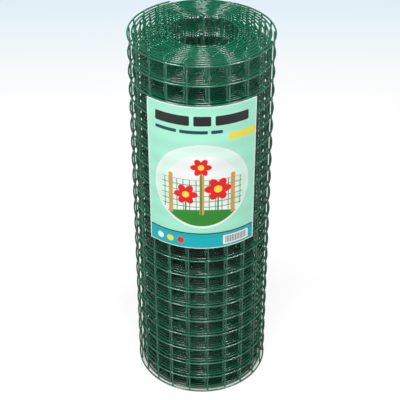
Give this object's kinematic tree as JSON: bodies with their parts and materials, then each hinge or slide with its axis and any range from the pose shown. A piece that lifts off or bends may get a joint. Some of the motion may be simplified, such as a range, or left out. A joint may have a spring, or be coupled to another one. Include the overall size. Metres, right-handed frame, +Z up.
{
  "type": "roll of welded wire mesh fencing",
  "caption": "Roll of green plastic-coated welded wire mesh fencing with square cells, standing on its end, open through the middle, with a printed paper label wrapped round the front.",
  "frame": {"origin": "middle of the roll's bottom end, on the ground it stands on", "axes": "+Z up along the roll's axis, -Y towards the middle of the label, +X to the right as seen facing the label"},
  "size_m": [0.1799, 0.1805, 0.5121],
  "materials": {
    "green_coated_wire": "glossy dark green plastic coat on galvanised steel wire",
    "label_paper": "printed coated paper, pale green ground"
  },
  "bodies": {
    "root": {"mesh_roll": "green_coated_wire", "label": "label_paper"}
  },
  "joints": []
}
